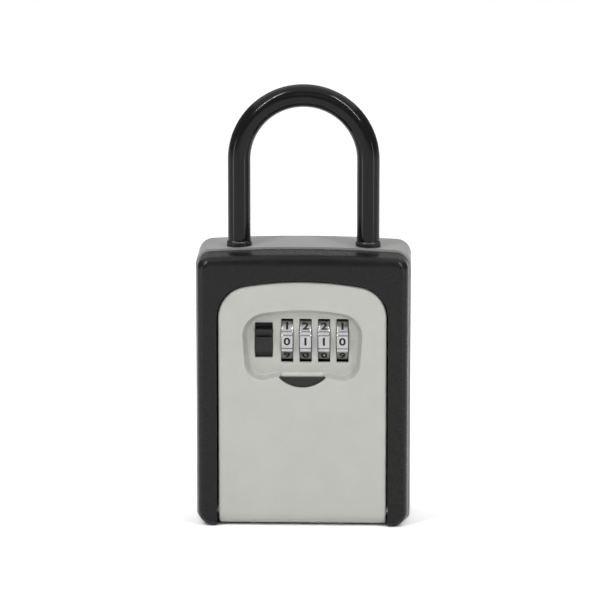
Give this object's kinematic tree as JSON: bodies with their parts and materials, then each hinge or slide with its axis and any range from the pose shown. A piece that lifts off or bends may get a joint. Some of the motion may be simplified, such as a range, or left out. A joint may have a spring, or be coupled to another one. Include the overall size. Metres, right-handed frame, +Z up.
{
  "type": "key lock box",
  "caption": "Shackle-hung key lock box: cast case and black bezel, drop-down door with number dials and a slide release, sleeved shackle, and the lock mechanism inside.",
  "frame": {"origin": "middle of the bounding box at its base", "axes": "+Z up the box towards the shackle, +Y towards the wall, so the door faces -Y; +X to the right seen from the front"},
  "size_m": [0.085, 0.04, 0.175],
  "materials": {
    "case_paint": "satin grey paint on a zinc casting",
    "bezel_black": "fine-textured black moulding",
    "door_silver": "satin silver-grey powder coat",
    "vinyl_black": "glossy black vinyl",
    "black_plastic": "satin black plastic",
    "dial_chrome": "bright plating with black filled numerals",
    "zinc_steel": "bright zinc plate",
    "plate_steel": "dull zinc plate",
    "spring_steel": "drawn wire",
    "cam_brass": "turned brass"
  },
  "bodies": {
    "case": {"rear_case": "case_paint", "front_bezel": "bezel_black", "bezel_screws": "zinc_steel", "hinge_pin": "zinc_steel", "shackle_collars": "black_plastic", "shackle_housing": "black_plastic", "housing_screws": "zinc_steel", "latch_keeper": "plate_steel", "bolt_spring": "spring_steel"},
    "door": {"door_panel": "door_silver", "finger_pull": "black_plastic", "mechanism_frame": "black_plastic", "dial_axle": "zinc_steel", "detent_spring": "spring_steel", "mechanism_cover": "plate_steel", "cover_screws": "zinc_steel", "sleeve_spring": "spring_steel", "latch_spring": "spring_steel"},
    "slider": {"release_slider": "black_plastic", "latch_plate": "plate_steel", "latch_screw": "zinc_steel"},
    "reset": {"reset_lever": "black_plastic", "lever_washer": "zinc_steel"},
    "shackle": {"shackle_rod": "zinc_steel", "shackle_sleeve": "vinyl_black"},
    "shackle_lock": {"shackle_bolt": "plate_steel", "release_button": "black_plastic"},
    "dial_1": {"dial_1": "dial_chrome"},
    "cam_1": {"cam_1": "cam_brass"},
    "dial_2": {"dial_2": "dial_chrome"},
    "cam_2": {"cam_2": "cam_brass"},
    "dial_3": {"dial_3": "dial_chrome"},
    "cam_3": {"cam_3": "cam_brass"},
    "dial_4": {"dial_4": "dial_chrome"},
    "cam_4": {"cam_4": "cam_brass"}
  },
  "joints": [
    {"name": "door_hinge", "type": "hinge", "parent": "case", "child": "door", "pos_m": [0, -0.014, 0.006], "axis": [1, 0, 0], "range_deg": [0, 90]},
    {"name": "dial_1_turn", "type": "hinge", "parent": "door", "child": "dial_1", "pos_m": [-0.0061, -0.0074, 0.075], "axis": [1, 0, 0], "continuous": true},
    {"name": "dial_2_turn", "type": "hinge", "parent": "door", "child": "dial_2", "pos_m": [0.00118, -0.0074, 0.075], "axis": [1, 0, 0], "continuous": true},
    {"name": "dial_3_turn", "type": "hinge", "parent": "door", "child": "dial_3", "pos_m": [0.00846, -0.0074, 0.075], "axis": [1, 0, 0], "continuous": true},
    {"name": "dial_4_turn", "type": "hinge", "parent": "door", "child": "dial_4", "pos_m": [0.01574, -0.0074, 0.075], "axis": [1, 0, 0], "continuous": true},
    {"name": "reset_turn", "type": "hinge", "parent": "door", "child": "reset", "pos_m": [-0.01454, 0, 0.075], "axis": [0, -1, 0], "range_deg": [0, 90]},
    {"name": "cam_1_shift", "type": "slide", "parent": "dial_1", "child": "cam_1", "axis": [1, 0, 0], "range_m": [0, 0.001], "deforming": ["sleeve_spring"]},
    {"name": "cam_2_shift", "type": "slide", "parent": "dial_2", "child": "cam_2", "axis": [1, 0, 0], "range_m": [0, 0.001]},
    {"name": "cam_3_shift", "type": "slide", "parent": "dial_3", "child": "cam_3", "axis": [1, 0, 0], "range_m": [0, 0.001]},
    {"name": "cam_4_shift", "type": "slide", "parent": "dial_4", "child": "cam_4", "axis": [1, 0, 0], "range_m": [0, 0.001]},
    {"name": "release_slide", "type": "slide", "parent": "door", "child": "slider", "axis": [0, 0, -1], "range_m": [-0.002, 0.002], "stiffness_N_per_m": 300, "springref_m": -0.004, "deforming": ["latch_spring"]},
    {"name": "shackle_lock_slide", "type": "slide", "parent": "case", "child": "shackle_lock", "axis": [1, 0, 0], "range_m": [-0.004, 0], "stiffness_N_per_m": 200, "springref_m": -0.007, "deforming": ["bolt_spring"]},
    {"name": "shackle_lift", "type": "slide", "parent": "case", "child": "shackle", "axis": [0, 0, 1], "range_m": [0, 0.018]}
  ],
  "couplings": [
    {"joint": "cam_2_shift", "follows": "cam_1_shift", "ratio": 1},
    {"joint": "cam_3_shift", "follows": "cam_1_shift", "ratio": 1},
    {"joint": "cam_4_shift", "follows": "cam_1_shift", "ratio": 1},
    {"joint": "reset_turn", "follows": "cam_1_shift", "rad_per_m": 1570}
  ]
}
